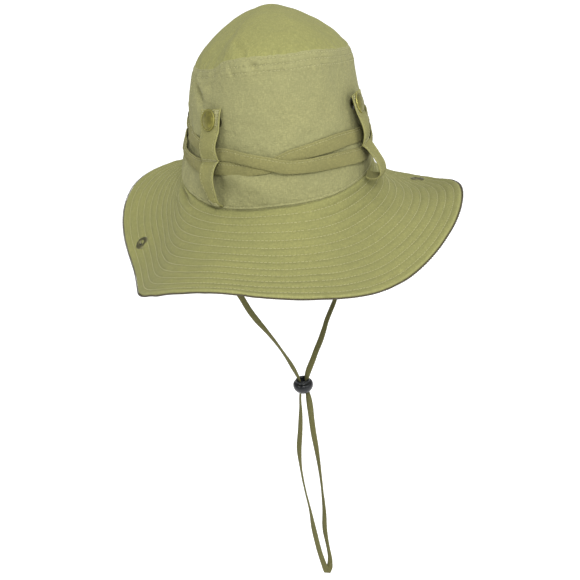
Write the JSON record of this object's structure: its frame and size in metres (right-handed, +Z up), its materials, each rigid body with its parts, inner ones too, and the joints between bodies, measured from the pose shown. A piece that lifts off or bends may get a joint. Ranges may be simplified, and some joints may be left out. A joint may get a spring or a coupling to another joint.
{
  "type": "boonie hat",
  "caption": "Wide-brimmed cloth sun hat with a tall crown, quilted brim whose sides fold up, crossed tape hat band, snap tabs and a chin cord with a slider.",
  "frame": {"origin": "the spot on the flat inside of the crown's apex where the hat hangs on a stand, about 126 mm above the seam where crown and brim meet", "axes": "+Z up through the crown, front of the hat towards -Y, wearer's left towards +X"},
  "size_m": [0.2842, 0.3478, 0.5794],
  "materials": {
    "crown_cloth": "matte woven cotton",
    "brim_cloth": "matte woven cotton, quilted",
    "brim_under_cloth": "matte woven cotton, quilted",
    "binding": "matte folded cotton",
    "band_tape": "matte flat tube of cotton",
    "tab_cloth": "matte folded cotton, edge stitched",
    "sweatband": "matte cotton band",
    "label": "blank satin label",
    "cord_tape": "ribbed flat tape",
    "slider_plastic": "glossy moulded bead",
    "snap_brass": "antique olive brass, satin"
  },
  "bodies": {
    "crown": {"band_strand_inner": "band_tape", "band_strand_outer": "band_tape", "blank_label": "label", "brim_binding_back": "binding", "brim_binding_front": "binding", "brim_snap_stud_left": "snap_brass", "brim_snap_stud_right": "snap_brass", "brim_top_center": "brim_cloth", "brim_under_center": "brim_under_cloth", "cord_tack_left": "cord_tape", "cord_tack_right": "cord_tape", "crown_back_panel": "crown_cloth", "crown_front_panel": "crown_cloth", "crown_tip": "crown_cloth", "sweatband": "sweatband", "tab_front_left_loop": "tab_cloth", "tab_front_left_snap_post": "snap_brass", "tab_front_right_loop": "tab_cloth", "tab_front_right_snap_post": "snap_brass", "tab_rear_left_loop": "tab_cloth", "tab_rear_left_snap_post": "snap_brass", "tab_rear_right_loop": "tab_cloth", "tab_rear_right_snap_post": "snap_brass"},
    "brim_side_left": {"brim_top_left": "brim_cloth", "brim_under_left": "brim_under_cloth", "brim_binding_left": "binding", "brim_snap_socket_left": "snap_brass", "brim_snap_cap_left": "snap_brass"},
    "brim_side_right": {"brim_top_right": "brim_cloth", "brim_under_right": "brim_under_cloth", "brim_binding_right": "binding", "brim_snap_socket_right": "snap_brass", "brim_snap_cap_right": "snap_brass"},
    "tab_front_left": {"tab_front_left_flap": "tab_cloth", "tab_front_left_snap_cap": "snap_brass", "tab_front_left_snap_socket": "snap_brass"},
    "tab_front_right": {"tab_front_right_flap": "tab_cloth", "tab_front_right_snap_cap": "snap_brass", "tab_front_right_snap_socket": "snap_brass"},
    "tab_rear_left": {"tab_rear_left_flap": "tab_cloth", "tab_rear_left_snap_cap": "snap_brass", "tab_rear_left_snap_socket": "snap_brass"},
    "tab_rear_right": {"tab_rear_right_flap": "tab_cloth", "tab_rear_right_snap_cap": "snap_brass", "tab_rear_right_snap_socket": "snap_brass"},
    "chin_cord": {"chin_cord": "cord_tape"},
    "slider": {"slider": "slider_plastic"}
  },
  "joints": [
    {"name": "brim_fold_left", "type": "hinge", "parent": "crown", "child": "brim_side_left", "pos_m": [0.075, -0.001, -0.1427], "axis": [0, -1, 0], "range_deg": [0, 112]},
    {"name": "brim_fold_right", "type": "hinge", "parent": "crown", "child": "brim_side_right", "pos_m": [-0.097, -0.001, -0.1427], "axis": [0, 1, 0], "range_deg": [0, 112]},
    {"name": "tab_open_front_left", "type": "hinge", "parent": "crown", "child": "tab_front_left", "pos_m": [0.05493, -0.0666, -0.09655], "axis": [-0.5506, -0.8311, 0.0775], "range_deg": [-120, 0]},
    {"name": "tab_open_front_right", "type": "hinge", "parent": "crown", "child": "tab_front_right", "pos_m": [-0.07257, -0.06403, -0.09106], "axis": [-0.5357, 0.8381, -0.1029], "range_deg": [-120, 0]},
    {"name": "tab_open_rear_left", "type": "hinge", "parent": "crown", "child": "tab_rear_left", "pos_m": [0.04656, 0.07341, -0.09222], "axis": [0.659, -0.7517, -0.0249], "range_deg": [-120, 0]},
    {"name": "tab_open_rear_right", "type": "hinge", "parent": "crown", "child": "tab_rear_right", "pos_m": [-0.06412, 0.07391, -0.09492], "axis": [0.6586, 0.7512, 0.0444], "range_deg": [-120, 0]},
    {"name": "cord_swing", "type": "hinge", "parent": "crown", "child": "chin_cord", "pos_m": [-0.011, -0.001, -0.1136], "axis": [1, 0, 0], "range_deg": [-60, 60]},
    {"name": "slider_slide", "type": "slide", "parent": "chin_cord", "child": "slider", "axis": [0, 0, -1], "range_m": [0, 0.2]}
  ]
}
